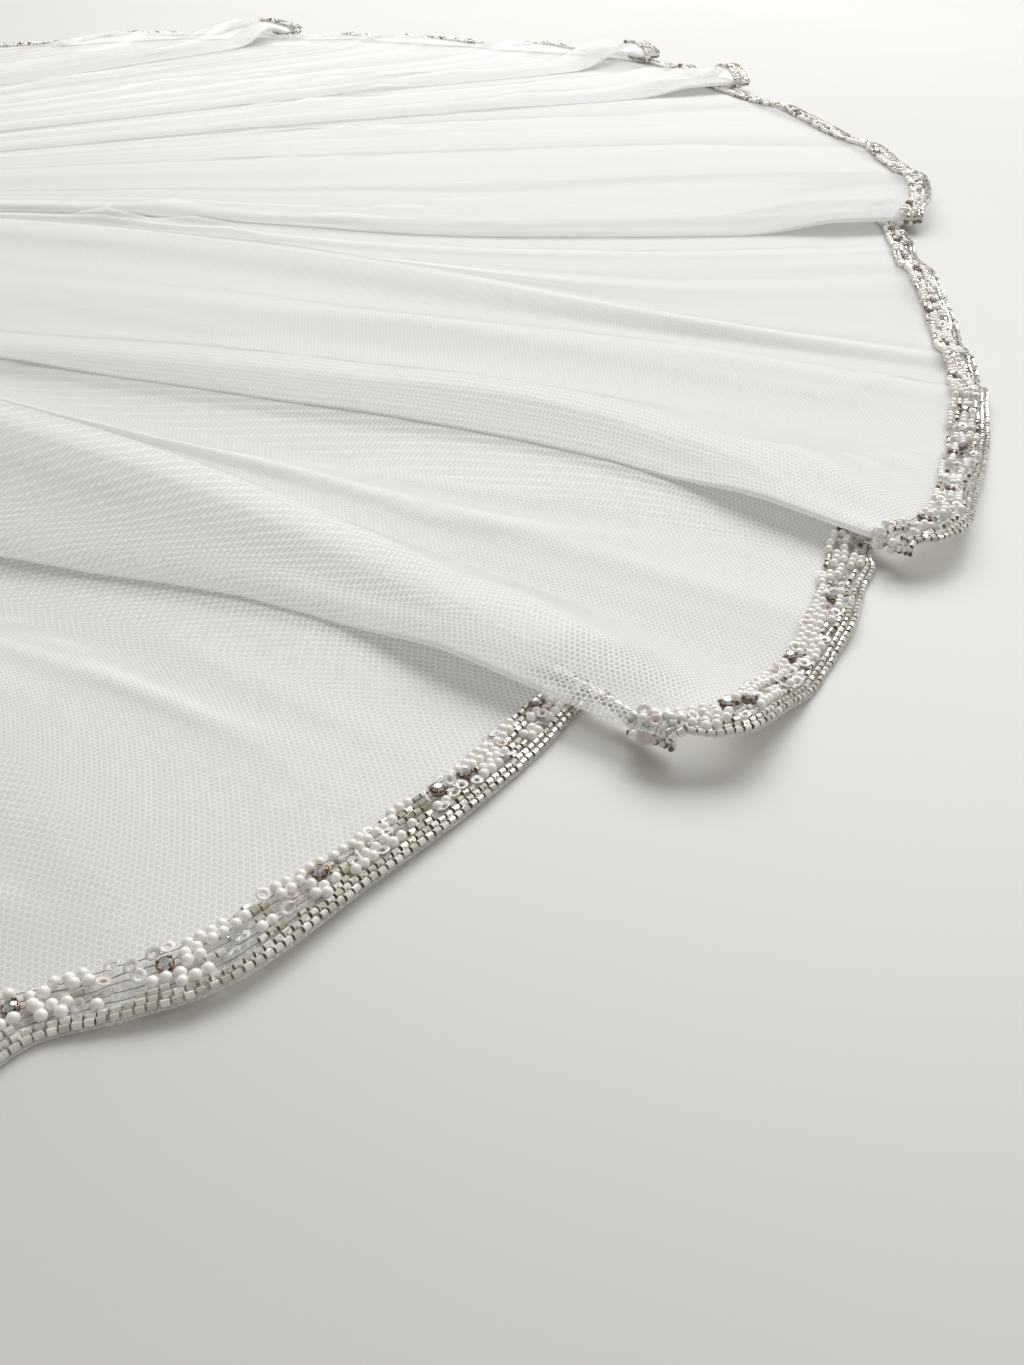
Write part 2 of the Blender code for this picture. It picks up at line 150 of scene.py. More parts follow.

# Soft creases laid over the folds: angle at the hem, angle half-way in, half width in
# degrees, height in mm, and the shares between which the crease shows
creases = [
    (-70.4, -73.0, 0.7, 1.6, 0.25, 0.95), (-67.2, -70.6, 0.5, 1.1, 0.45, 1.02),
    (-63.8, -66.2, 0.6, 1.5, 0.20, 0.80), (-55.6, -58.0, 0.5, 1.4, 0.35, 1.02),
    (-52.9, -55.0, 0.35, 0.9, 0.55, 1.00), (-49.6, -51.6, 0.45, 1.2, 0.20, 0.88),
    (-45.7, -46.6, 0.30, 0.8, 0.60, 1.02), (-43.4, -45.0, 0.4, 1.1, 0.30, 0.93),
    (-40.6, -42.4, 0.35, 1.0, 0.15, 0.85), (-38.0, -39.4, 0.3, 0.8, 0.55, 0.98),
    (-36.4, -37.2, 0.3, 0.7, 0.62, 1.02), (-33.1, -35.4, 0.35, 1.0, 0.35, 0.96),
    (-31.4, -32.6, 0.3, 0.9, 0.25, 0.90), (-29.6, -30.2, 0.25, 0.7, 0.58, 1.0),
    (-25.6, -25.8, 0.25, 0.8, 0.35, 0.92), (-22.6, -19.4, 0.3, 0.9, 0.30, 1.0),
    (-19.8, -17.4, 0.3, 0.8, 0.45, 0.95), (-18.0, -13.0, 0.3, 1.0, 0.30, 0.99),
    (-15.8, -10.4, 0.3, 0.9, 0.20, 0.92), (-13.6, -4.6, 0.3, 0.9, 0.40, 1.0),
    (-11.4, -2.0, 0.25, 0.8, 0.30, 0.86), (-8.4, 1.4, 0.3, 1.0, 0.35, 1.0),
    (-6.2, 4.0, 0.25, 0.7, 0.25, 0.90), (-2.6, 7.0, 0.3, 0.8, 0.40, 1.0),
    (1.8, 9.8, 0.3, 0.9, 0.20, 0.95), (3.6, 11.6, 0.3, 0.8, 0.45, 1.0),
    (6.2, 13.4, 0.3, 0.7, 0.30, 0.88), (9.0, 15.6, 0.3, 0.9, 0.35, 1.0),
    (11.8, 17.0, 0.35, 0.9, 0.25, 0.93), (14.6, 19.2, 0.3, 0.8, 0.45, 1.0),
    (17.0, 21.4, 0.35, 1.0, 0.20, 0.90), (19.4, 23.2, 0.3, 0.8, 0.40, 1.0),
    (24.2, 26.0, 0.35, 0.9, 0.25, 0.95), (26.6, 28.2, 0.3, 0.7, 0.50, 1.0),
    (32.2, 34.4, 0.4, 1.2, 0.30, 0.97), (35.0, 37.8, 0.4, 1.0, 0.45, 1.0),
    (38.0, 40.8, 0.45, 1.3, 0.20, 0.90), (41.4, 44.6, 0.5, 1.4, 0.35, 1.0),
    (45.2, 48.6, 0.45, 1.1, 0.50, 1.0), (49.0, 52.8, 0.5, 1.5, 0.25, 0.94),
    (55.4, 59.6, 0.5, 1.3, 0.35, 1.0), (59.2, 64.4, 0.55, 1.5, 0.20, 0.88),
    (63.0, 68.0, 0.5, 1.2, 0.45, 1.0), (67.0, 72.0, 0.6, 1.6, 0.25, 0.96),
]

# Short creases that cross the folds: angle and share at each end, half width in metres, height in mm
wrinkles = [
    (-23.4, 0.955, -20.0, 1.0, 0.0035, 1.5), (-18.6, 0.93, -15.2, 0.995, 0.0030, 1.2),
    (-32.9, 0.835, -32.1, 0.95, 0.0028, 1.2),
    (-32.5, 0.875, -33.0, 0.96, 0.0026, 1.0), (-28.6, 0.74, -26.0, 0.93, 0.0045, 1.4),
    (-27.6, 0.80, -24.6, 0.90, 0.0035, 1.1), (-29.8, 0.80, -26.8, 0.96, 0.0040, 1.0),
    (-1.8, 0.50, 1.4, 0.545, 0.0055, 5.5), (1.4, 0.545, -4.6, 0.61, 0.0040, 2.4),
    (-4.4, 0.60, 2.0, 0.74, 0.0035, 1.6), (8.6, 0.60, 4.6, 0.80, 0.0040, 1.2),
    (15.6, 0.52, 9.6, 0.66, 0.0050, 1.8), (24.0, 0.55, 17.0, 0.74, 0.0060, 2.2),
    (27.0, 0.62, 33.0, 0.80, 0.0060, 2.6), (20.0, 0.74, 29.0, 0.90, 0.0065, 2.4),
    (34.0, 0.58, 27.0, 0.70, 0.0060, 2.4), (38.0, 0.70, 31.0, 0.88, 0.0070, 2.6),
    (-43.6, 0.62, -40.0, 0.86, 0.0060, 1.8), (-50.2, 0.60, -47.0, 0.80, 0.0060, 1.6),
    (-47.4, 0.84, -43.2, 0.97, 0.0050, 1.4), (-39.8, 0.80, -37.4, 0.97, 0.0040, 1.0),
    (-58.0, 0.50, -53.6, 0.74, 0.0070, 2.0), (-66.0, 0.55, -61.0, 0.80, 0.0070, 2.2),
    (45.0, 0.60, 39.0, 0.84, 0.0070, 2.2), (56.0, 0.50, 49.0, 0.76, 0.0070, 2.2),
    (66.0, 0.55, 60.0, 0.84, 0.0070, 2.0),
]


def ease(low, high, value):
    share = np.clip((value - low) / (high - low), 0.0, 1.0)
    return share * share * (3 - 2 * share)


def curveThrough(stops, values, share):
    # a smooth curve through the values, so that no fold kinks at a stop
    slopes = np.gradient(np.array(values, float), stops)
    slopes[0] = 0.0
    k = int(np.clip(np.searchsorted(stops, share) - 1, 0, len(stops) - 2))
    step = stops[k + 1] - stops[k]
    t = (share - stops[k]) / step
    rise = values[k] * (1 + 2 * t) * (1 - t) ** 2 + values[k + 1] * t * t * (3 - 2 * t)
    return float(rise + step * t * (1 - t) * (slopes[k] * (1 - t) - slopes[k + 1] * t))


def angleAt(angles, share):
    return curveThrough(angleStops, (angles[0], *angles), share)


def heightAt(heights, share):
    return curveThrough(heightStops, (heights[0], *heights), share) * mm * ease(0.06, 0.36, share)


def pleatPoints(angles, overlaps, radiusUnder, radiusFold, radiusCrest, puffs, lifts, share):
    # the cloth under the fold, lower turn, the layer that runs back, upper turn, top layer
    middle = angleAt(angles, share)
    overlap = angleAt(overlaps, share) * ease(*lay["overlapGrow"], share)
    puff, lift = heightAt(puffs, share), heightAt(lifts, share)
    overTrim = max(radiusFold - radiusUnder, 0.0) + lay["trimWidth"] + lay["trimClear"]
    swollen = 1 - overTrim / radiusFold
    swell = ease(swollen - lay["swellLength"], swollen, share)
    lower = lay["lowerTurnInside"] + (lay["lowerTurnAtHem"] - lay["lowerTurnInside"]) * swell
    upper = lay["upperTurnInside"] + (lay["upperTurnAtHem"] - lay["upperTurnInside"]) * swell
    shift = lay["turnShift"]
    gap = 2 * lower * (lay["foldGap"] + (1 - lay["foldGap"]) * swell)
    left, right = middle - overlap / 2, middle + overlap / 2
    points = [(left, 0.0, lift, radiusUnder)]
    for step in range(lay["turnSteps"] + 1):
        turn = -pi / 2 + pi * step / lay["turnSteps"]
        points.append((right, shift + lower * cos(turn), lower + lower * sin(turn), radiusUnder))
    for step in range(lay["turnSteps"] + 1):
        turn = -pi / 2 + pi * step / lay["turnSteps"]
        height = lift + gap + upper + upper * sin(turn)
        points.append((left, -shift - upper * cos(turn), height, radiusFold))
    top = 2 * (lower + upper)
    rising = (radiusFold + radiusCrest) / 2
    rise = top + 0.75 * puff + 0.5 * lift
    points.append((left + 0.35 * overlap, lay["topStep"], rise, rising))
    points.append((right, 2 * lay["topStep"], top + puff, radiusCrest))
    return points


def acrossFan(share):
    # angle, offset along the fan, height and hem radius of each point across it
    points = []
    slopeNext = False
    for kind, angles, *rest in foldLines:
        if kind == "pleat":
            new = pleatPoints(angles, *rest, share)
        elif kind == "ridge":
            new = [(angleAt(angles, share), 0.0, heightAt(rest[1], share), rest[0])]
        elif kind == "flat":
            middle = angleAt(angles, share)
            half = lay["flatHalfWidth"]
            new = [(middle - half, 0.0, 0.0, rest[0]), (middle + half, 0.0, 0.0, rest[0])]
        else:
            new = [(angleAt(angles, share), 0.0, 0.0, rest[0])]
        if points and (slopeNext or kind == "ridge"):
            points.append(tuple((a + b) / 2 for a, b in zip(points[-1], new[0])))
        points += new
        slopeNext = kind in ("ridge", "pleat")
    return np.array(points)


def creaseHeight(angle, share):
    # angle in degrees, one value for each column
    total = np.zeros_like(angle)
    for hemAngle, innerAngle, halfWidth, height, start, end in creases:
        middle = innerAngle + (hemAngle - innerAngle) * ease(0.3, 1.1, share) * 1.02
        shown = ease(start - 0.12, start + 0.12, share) * (1 - ease(end - 0.10, end + 0.05, share))
        shown *= 1 - (1 - lay["farCreases"]) * ease(-14, -4, hemAngle)
        total += height * mm * shown * np.exp(-(((angle - middle) / halfWidth) ** 2))
    return total


def wrinkleHeight(angle, share):
    # each wrinkle is highest half-way along and runs out at both ends
    total = np.zeros_like(angle)
    reach = 0.84
    for startAngle, startShare, endAngle, endShare, halfWidth, height in wrinkles:
        start = np.array((startShare, radians(startAngle) * startShare)) * reach
        end = np.array((endShare, radians(endAngle) * endShare)) * reach
        way = end - start
        x = share * reach - start[0]
        y = np.radians(angle) * share * reach - start[1]
        along = (x * way[0] + y * way[1]) / (way @ way)
        off = (x * way[1] - y * way[0]) / hypot(*way)
        shown = ease(-0.15, 0.35, along) * (1 - ease(0.65, 1.15, along))
        total += height * mm * shown * np.exp(-((off / halfWidth) ** 2))
    return total


def controlRow(share):
    # the fan's points at one share, laid out in the model's frame
    angle, offset, height, radius = acrossFan(share).T
    side = lay["sideAngle"]
    even = side * (2 * np.arange(len(angle)) / (len(angle) - 1) - 1)
    spread = ease(*lay["linesGrow"], share)
    turned = np.radians(even + (angle - even) * spread)
    reach = share * (radius - lay["trimWidth"])
    x = lay["gatherX"] - lay["headingBack"] * (1 - share) + reach * np.cos(turned)
    y = lay["gatherY"] + np.hypot(reach, lay["combWidth"] / 2) * np.sin(turned)
    opened = ease(*lay["turnsGrow"], share)
    x -= np.sin(turned) * offset * opened
    y += np.cos(turned) * offset * opened
    phase = 2 * pi * lay["gatherCount"] * (np.sin(turned) / sin(radians(side)) + 1) / 2
    wave = lay["gatherHeight"] * (1 - np.cos(phase)) / 2 * (1 - ease(*lay["gatherFade"], share))
    pastBar = np.maximum(x - lay["gatherX"] - lay["barFront"], lay["gatherX"] - lay["barBack"] - x)
    pastEnd = np.abs(y - lay["gatherY"]) - lay["combWidth"] / 2
    past = np.hypot(np.maximum(pastBar, 0), np.maximum(pastEnd, 0))
    lift = lay["barHeight"] * (1 - ease(*lay["barSlope"], past))
    kept = 1 - (1 - lay["farRelief"]) * ease(*lay["farSide"], angle) * (1 - ease(*lay["farRim"], share))
    rollFrom, rollFull, rollFade, rollEnd = lay["farRollAngles"]
    rolled = ease(rollFrom, rollFull, angle) * (1 - ease(rollFade, rollEnd, angle))
    rolled *= np.exp(-(((share - lay["farRollShare"]) / lay["farRollWidth"]) ** 2))
    z = lay["clothBase"] + height * kept * ease(*lay["riseGrow"], share) + wave + lift
    z += lay["farRoll"] * rolled
    return np.stack([x, y, z], axis=1)


def smoothAcross(points, counts):
    # more points on a smooth curve through the given ones, counts[k] in each gap
    steps = np.linalg.norm(np.diff(points, axis=0), axis=1)[:, None] + 1e-7
    slopes = np.diff(points, axis=0) / steps
    tangents = np.empty_like(points)
    tangents[1:-1] = (slopes[:-1] * steps[1:] + slopes[1:] * steps[:-1]) / (steps[:-1] + steps[1:])
    tangents[0], tangents[-1] = slopes[0], slopes[-1]
    k = np.repeat(np.arange(len(counts)), counts)
    t = np.concatenate([np.arange(count) / count for count in counts])[:, None]
    fine = points[k] * (1 + 2 * t) * (1 - t) ** 2 + points[k + 1] * t * t * (3 - 2 * t)
    fine += steps[k] * t * (1 - t) * (tangents[k] * (1 - t) - tangents[k + 1] * t)
    return np.concatenate([fine, points[-1:]])


def layPanel():
    shares = np.concatenate([np.linspace(*part)[:-1] for part in lay["rowParts"]] + [[1.0]])
    rows = [controlRow(share) for share in shares]
    gaps = np.linalg.norm(np.diff(rows[-1], axis=0), axis=1)
    counts = np.clip(np.round(gaps / lay["columnSpacing"]), 2, 24).astype(int)
    fine = []
    for share, row in zip(shares, rows):
        points = smoothAcross(row, counts)
        angle = np.degrees(np.arctan2(points[:, 1] - lay["gatherY"], points[:, 0] - lay["gatherX"]))
        points[:, 2] += creaseHeight(angle, share) + wrinkleHeight(angle, share)
        fine.append(points)
    grid = np.array(fine)
    grid[..., 2] = np.maximum(grid[..., 2], lay["clothBase"])
    # soft unevenness, the same for layers that lie on each other
    settled = ease(0.10, 0.40, shares)
    for r in range(len(shares)):
        for c in range(grid.shape[1]):
            x, y, z = grid[r, c]
            lift = noise.noise((x * 14, y * 14, 0.5)) + 0.5 * noise.noise((x * 34, y * 34, 3.5))
            line = 1 - min(abs(noise.noise((x * 6, y * 13, 8.5))) * 8, 1.0)
            far = float(ease(-0.08, 0.22, y))
            soft = 0.9 * max(lift + 0.35, 0.0) + (0.2 + 0.15 * far) * line * line
            grid[r, c, 2] = z + soft * mm * settled[r]
    return shares, grid


def bendOf(grid, shares):
    # how sharply the cloth turns across the fan: 1 on a crest or a folded edge, under 0 in a valley
    place = grid[:, :, :2] - (lay["gatherX"], lay["gatherY"])
    across = np.arctan2(place[..., 1], place[..., 0]) * np.hypot(place[..., 0], place[..., 1])
    step = np.stack([np.diff(across, axis=1), np.diff(grid[..., 2], axis=1)], axis=2)
    before, after = step[:, :-1], step[:, 1:]
    turn = np.arctan2(
        before[..., 0] * after[..., 1] - before[..., 1] * after[..., 0],
        np.sum(before * after, axis=2),
    )
    length = (np.linalg.norm(before, axis=2) + np.linalg.norm(after, axis=2)) / 2 + 1e-5
    bend = np.zeros(grid.shape[:2])
    bend[:, 1:-1] = np.clip(-turn / length / lay["sharpBend"], -lay["valleyShare"], 1)
    for _ in range(2):
        bend[:, 1:-1] = (bend[:, :-2] + 2 * bend[:, 1:-1] + bend[:, 2:]) / 4
    return bend * ease(0.2, 0.4, shares)[:, None]


def borderOf(grid, shares):
    # round the panel from the comb, along the hem and back: points, level ways out and normals
    last, right = grid.shape[0] - 1, grid.shape[1] - 1
    walk = [(r, 0) for r in range(last)] + [(last, c) for c in range(right + 1)]
    walk += [(r, right) for r in range(last - 1, -1, -1)]
    rowWay = np.gradient(grid, axis=0)
    normals = np.cross(rowWay, np.gradient(grid, axis=1))
    normals /= np.linalg.norm(normals, axis=2, keepdims=True)
    points, ways, ups = [], [], []
    for r, c in walk:
        hemWay = (grid[last, c] - grid[last - 1, c])[:2]
        hemWay = hemWay / np.linalg.norm(hemWay)
        edgeWay = rowWay[r, c][:2] / np.linalg.norm(rowWay[r, c][:2])
        sideWay = np.array((edgeWay[1], -edgeWay[0])) * (1 if c == 0 else -1)
        way = hemWay
        if r < last:
            way = sideWay
        elif c in (0, right):
            way = (hemWay + sideWay) / (1 + hemWay @ sideWay)
        way = way * (0.14 + 0.86 * ease(0.0, 0.20, shares[r]))
        points.append(grid[r, c])
        ways.append((way[0], way[1], 0.0))
        ups.append(normals[r, c])
    return np.array(points), np.array(ways), np.array(ups)


print("laying the panel")
shares, panelGrid = layPanel()
borderPoints, borderWays, borderUps = borderOf(panelGrid, shares)


# Materials

def newMaterial(name, colour, roughness, **sockets):
    made = bpy.data.materials.new(name)
    made.use_nodes = True
    made.cycles.emission_sampling = "NONE"  # the painted glow of tulle and pearls is not sampled as a lamp
    shader = made.node_tree.nodes["Principled BSDF"]
    shader.inputs["Base Color"].default_value = (*colour, 1.0)
    shader.inputs["Roughness"].default_value = roughness
    for socket, value in sockets.items():
        shader.inputs[socket.replace("_", " ")].default_value = value
    return made, made.node_tree, shader


def addNode(tree, kind, settings=None, inputs=None):
    node = tree.nodes.new(kind)
    for name, value in (settings or {}).items():
        setattr(node, name, value)
    for name, value in (inputs or {}).items():
        if isinstance(value, bpy.types.NodeSocket):
            tree.links.new(value, node.inputs[name])
        else:
            node.inputs[name].default_value = value
    return node


def fromAttribute(tree, name):
    return addNode(tree, "ShaderNodeAttribute", {"attribute_name": name}).outputs["Fac"]


def grainOf(tree, scale, detail=2.0, stretch=(1.0, 1.0, 1.0)):
    # noise that stays on the piece, from 0 to 1
    place = addNode(tree, "ShaderNodeTexCoord").outputs["Object"]
    drawn = addNode(tree, "ShaderNodeMapping", {}, {"Vector": place, "Scale": stretch})
    inputs = {"Vector": drawn.outputs["Vector"], "Scale": scale, "Detail": detail}
    return addNode(tree, "ShaderNodeTexNoise", {}, inputs).outputs["Fac"]


def rangeOf(tree, value, low, high):
    inputs = {"Value": value, "To Min": low, "To Max": high}
    return addNode(tree, "ShaderNodeMapRange", {}, inputs).outputs["Result"]


def colourFrom(tree, shader, value, low, high, fullAt=1.0):
    # the base colour runs from low to high as the value does
    ramp = addNode(tree, "ShaderNodeValToRGB", {}, {"Fac": value})
    ramp.color_ramp.elements[0].color = (*low, 1)
    ramp.color_ramp.elements[1].color = (*high, 1)
    ramp.color_ramp.elements[1].position = fullAt
    tree.links.new(ramp.outputs["Color"], shader.inputs["Base Color"])


def roughFrom(tree, shader, value, low, high):
    tree.links.new(rangeOf(tree, value, low, high), shader.inputs["Roughness"])


def mathNode(tree, operation, first, second=0.0, third=0.0):
    inputs = {0: first, 1: second, 2: third}
    return addNode(tree, "ShaderNodeMath", {"operation": operation}, inputs).outputs[0]


def vectorNode(tree, operation, first, second=(0.0, 0.0, 0.0)):
    node = addNode(tree, "ShaderNodeVectorMath", {"operation": operation}, {0: first, 1: second})
    return node.outputs["Value" if operation == "DOT_PRODUCT" else "Vector"]


net = {
    "cell": 0.00165,  # across a hexagon's flats
    "thread": 0.11,  # a thread's half width, as a share of a cell
    "threadShare": 0.36,  # of the net that threads cover on average
    "threadCover": 0.64,
    "holeCover": 0.40,
    "openCover": 0.05,  # where the net is pulled open over the edging
    "openSpots": [(0.2505, -0.4380, 0.019)],
    "clearSpot": (0.20, -0.50),  # the net's cells show most round here, and less further away
    "clearFrom": 0.12,
    "clearTo": 0.42,
    "farClear": 0.06,
    "colour": (0.96, 0.955, 0.94),
    "paintedGlow": 0.055,  # painted glow: the net gives off a faint even light of its own, though it is no lamp
    "bendPaintedLight": 0.09,  # more painted glow as a painted highlight where the cloth turns, less as painted shade in a valley
    "bendCover": 0.20,
}


def hexDistance(tree, place):
    # 0 in the middle of a hexagonal cell and 0.5 on its thread
    tall = 3 ** 0.5
    size = (1.0, tall, 1.0)
    half = (0.5, tall / 2, 0.5)
    found = []
    for shift in ((0.0, 0.0, 0.0), half):
        moved = vectorNode(tree, "ADD", place, (400 + shift[0], 400 * tall + shift[1], 0.0))
        local = vectorNode(tree, "SUBTRACT", vectorNode(tree, "MODULO", moved, size), half)
        flat = vectorNode(tree, "MULTIPLY", local, (1.0, 1.0, 0.0))
        across = vectorNode(tree, "ABSOLUTE", flat)
        slant = vectorNode(tree, "DOT_PRODUCT", across, (0.5, tall / 2, 0.0))
        straight = vectorNode(tree, "DOT_PRODUCT", across, (1.0, 0.0, 0.0))
        found.append(mathNode(tree, "MAXIMUM", slant, straight))
    return mathNode(tree, "MINIMUM", found[0], found[1])


def makeTulle():
    made, tree, shader = newMaterial(
        "tulle", net["colour"], 0.75, Sheen_Weight=0.8, Sheen_Roughness=0.35,
        Emission_Color=(*net["colour"], 1.0),
    )
    place = addNode(tree, "ShaderNodeUVMap", {"uv_map": "clothUv"}).outputs["UV"]
    scale = 1 / net["cell"]
    scaled = addNode(tree, "ShaderNodeMapping", {}, {"Vector": place, "Scale": (scale, scale, 1.0)})
    distance = hexDistance(tree, scaled.outputs["Vector"])
    thread = addNode(tree, "ShaderNodeMapRange", {"interpolation_type": "SMOOTHSTEP"}, {
        "Value": distance,
        "From Min": 0.5 - net["thread"] * 1.7,
        "From Max": 0.5 - net["thread"] * 0.5,
    }).outputs["Result"]
    hole = rangeOf(tree, fromAttribute(tree, "opened"), net["holeCover"], net["openCover"])
    # far from the clear spot, the cells melt into the cover that they have on average
    apart = mathNode(tree, "SUBTRACT", thread, net["threadShare"])
    shown = mathNode(tree, "MULTIPLY", apart, fromAttribute(tree, "clear"))
    share = mathNode(tree, "ADD", shown, net["threadShare"])
    more = mathNode(tree, "MULTIPLY", share, mathNode(tree, "SUBTRACT", net["threadCover"], hole))
    bend = fromAttribute(tree, "bend")
    crest = mathNode(tree, "MAXIMUM", bend, 0.0)
    cover = mathNode(tree, "MULTIPLY_ADD", crest, net["bendCover"], mathNode(tree, "ADD", hole, more))
    tree.links.new(cover, shader.inputs["Alpha"])
    # painted light: the emission glows evenly, more as a painted highlight on crests and less as painted
    # shade in valleys
    paintedGlow = mathNode(tree, "MULTIPLY_ADD", bend, net["bendPaintedLight"], net["paintedGlow"])
    tree.links.new(paintedGlow, shader.inputs["Emission Strength"])
    roughFrom(tree, shader, thread, 0.82, 0.68)
    return made


def makeUnderside():
    # the net's thickness is real, but its threads are drawn once, on its upper side
    return newMaterial("tulleUnderside", net["colour"], 0.8, Alpha=0.0)[0]


def finishPiece(mesh, name, materials, body="root"):
    for made in materials:
        mesh.materials.append(made)
    piece = bpy.data.objects.new(name, mesh)
    bpy.context.scene.collection.objects.link(piece)
    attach(piece, body)
    return piece


def gridInto(bm, points):
    # a grid of squares whose corners take the given places
    rows, columns = points.shape[:2]
    made = bmesh.ops.create_grid(bm, x_segments=columns - 1, y_segments=rows - 1, size=1.0)
    for vert in made["verts"]:
        c = round((vert.co.x + 1) / 2 * (columns - 1))
        r = round((vert.co.y + 1) / 2 * (rows - 1))
        vert.co = points[r, c]
        vert.index = r * columns + c
    return sorted(made["verts"], key=lambda vert: vert.index)


def buildPanel():
    bm = bmesh.new()
    marks = {name: bm.verts.layers.float.new(name) for name in ("bend", "clear", "opened")}
    rows, columns = panelGrid.shape[:2]
    inside = gridInto(bm, panelGrid)
    steps = (0.0, 0.25, 0.5, 0.74, 1.0)
    ring = np.array([borderPoints + borderWays * lay["trimWidth"] * step for step in steps])
    outside = gridInto(bm, ring)

    # the cloth's own flat coordinates, so that the net keeps its size and its grain
    arc = np.linalg.norm(np.diff(panelGrid[-1], axis=0), axis=1)
    flatAngle = np.concatenate([[0.0], np.cumsum(arc)]) / 0.83
    flatAngle -= flatAngle[columns // 2]
    reach = np.linalg.norm(panelGrid[:, :, :2] - (lay["gatherX"], lay["gatherY"]), axis=2)
    flat = np.stack([reach * np.sin(flatAngle), reach * np.cos(flatAngle)], axis=2)
    walkFlat = np.concatenate([flat[:-1, 0], flat[-1], flat[-2::-1, -1]])
    out = walkFlat / (np.linalg.norm(walkFlat, axis=1, keepdims=True) + 1e-6)
    flatRing = np.concatenate([walkFlat + out * lay["trimWidth"] * step for step in steps])

    bend = bendOf(panelGrid, shares).reshape(-1)
    for vert, value in zip(inside, bend):
        vert[marks["bend"]] = value
    for vert in bm.verts:
        away = hypot(vert.co.x - net["clearSpot"][0], vert.co.y - net["clearSpot"][1])
        vert[marks["clear"]] = 1 - (1 - net["farClear"]) * ease(net["clearFrom"], net["clearTo"], away)
        for x, y, radius in net["openSpots"]:
            near = hypot(vert.co.x - x, vert.co.y - y)
            vert[marks["opened"]] = 1 - ease(radius * 0.75, radius * 1.1, near)

    uvLayer = bm.loops.layers.uv.new("clothUv")
    flatOf = dict(zip(inside + outside, np.concatenate([flat.reshape(-1, 2), flatRing])))
    for face in bm.faces:
        face.smooth = True
        for loop in face.loops:
            loop[uvLayer].uv = flatOf[loop.vert]
    edgeRing = outside[:len(borderPoints)]
    edgePanel = [inside[r * columns] for r in range(rows - 1)]
    edgePanel += inside[(rows - 1) * columns:]
    edgePanel += [inside[r * columns + columns - 1] for r in range(rows - 2, -1, -1)]
    bmesh.ops.weld_verts(bm, targetmap=dict(zip(edgeRing, edgePanel)))
    bmesh.ops.recalc_face_normals(bm, faces=bm.faces)
    mesh = bpy.data.meshes.new("tulle")
    bm.to_mesh(mesh)
    bm.free()
    if mesh.polygons[0].normal.z < 0:
        mesh.flip_normals()
    piece = finishPiece(mesh, "tulle", [makeTulle(), makeUnderside()])
    shell = piece.modifiers.new("thickness", "SOLIDIFY")
    shell.thickness = 0.00022
    shell.offset = 0.0
    shell.material_offset = 1
    return piece


print("sewing the tulle")
tulle = buildPanel()
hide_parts("tulle_panel")


# Bead shapes, each lying along X with up at Z, in metres

def meshOf(bm, name, smooth=True):
    bmesh.ops.recalc_face_normals(bm, faces=bm.faces)
    for face in bm.faces:
        face.smooth = smooth
    mesh = bpy.data.meshes.new(name)
    bm.to_mesh(mesh)
    bm.free()
    return mesh


def tubeShape(sides, bevelled, length=0.00192, radius=0.0008):
    bm = bmesh.new()
    bmesh.ops.create_cone(
        bm, cap_ends=True, segments=sides, radius1=radius, radius2=radius, depth=length,
        matrix=Matrix.Rotation(pi / 2, 4, "Y"),
    )
    caps = [face for face in bm.faces if len(face.verts) == sides]
    if bevelled:
        edges = list({edge for cap in caps for edge in cap.edges})
        bmesh.ops.bevel(
            bm, geom=edges, offset=radius * 0.13, segments=1, profile=0.5,
            affect="EDGES", material=-1,
        )
        caps = [face for face in bm.faces if len(face.verts) == sides]
    for cap in caps:
        cap.material_index = 1
    return meshOf(bm, "tubeShape", smooth=False)


def pearlShape(around, along, radius=0.00138):
    bm = bmesh.new()
    bmesh.ops.create_uvsphere(
        bm, u_segments=around, v_segments=along, radius=radius,
        matrix=Matrix.Rotation(pi / 2, 4, "Y"),
    )
    return meshOf(bm, "pearlShape")


def sequinShape(sides, radius=0.00178, hole=0.00058, dish=0.00036, thick=0.00010):
    # a cupped disc with a hole: a ring spun round Z, then given its thickness
    bm = bmesh.new()
    profile = [(hole, 0.0), (radius * 0.55, dish * 0.12), (radius, dish)]
    verts = [bm.verts.new((x, 0.0, z)) for x, z in profile]
    edges = [bm.edges.new(pair) for pair in zip(verts[:-1], verts[1:])]
    bmesh.ops.spin(
        bm, geom=verts + edges, cent=(0, 0, 0), axis=(0, 0, 1), angle=2 * pi,
        steps=sides, use_merge=True, use_duplicate=False,
    )
    bmesh.ops.recalc_face_normals(bm, faces=bm.faces)
    bmesh.ops.solidify(bm, geom=bm.faces[:], thickness=thick)
    return meshOf(bm, "sequinShape")


def stoneShape(radius=0.00165):
    # a round brilliant: flat table, crown and the girdle that sits in its cup
    bm = bmesh.new()
    bmesh.ops.create_cone(
        bm, cap_ends=True, segments=8, radius1=radius, radius2=radius * 0.56, depth=radius * 0.5,
        matrix=Matrix.Translation((0, 0, radius * 1.12)),
    )
    bmesh.ops.create_cone(
        bm, cap_ends=False, segments=8, radius1=radius * 0.12, radius2=radius, depth=radius * 0.87,
        matrix=Matrix.Translation((0, 0, radius * 0.435)),
    )
    bmesh.ops.remove_doubles(bm, verts=bm.verts, dist=1e-5)
    return meshOf(bm, "stoneShape", smooth=False)


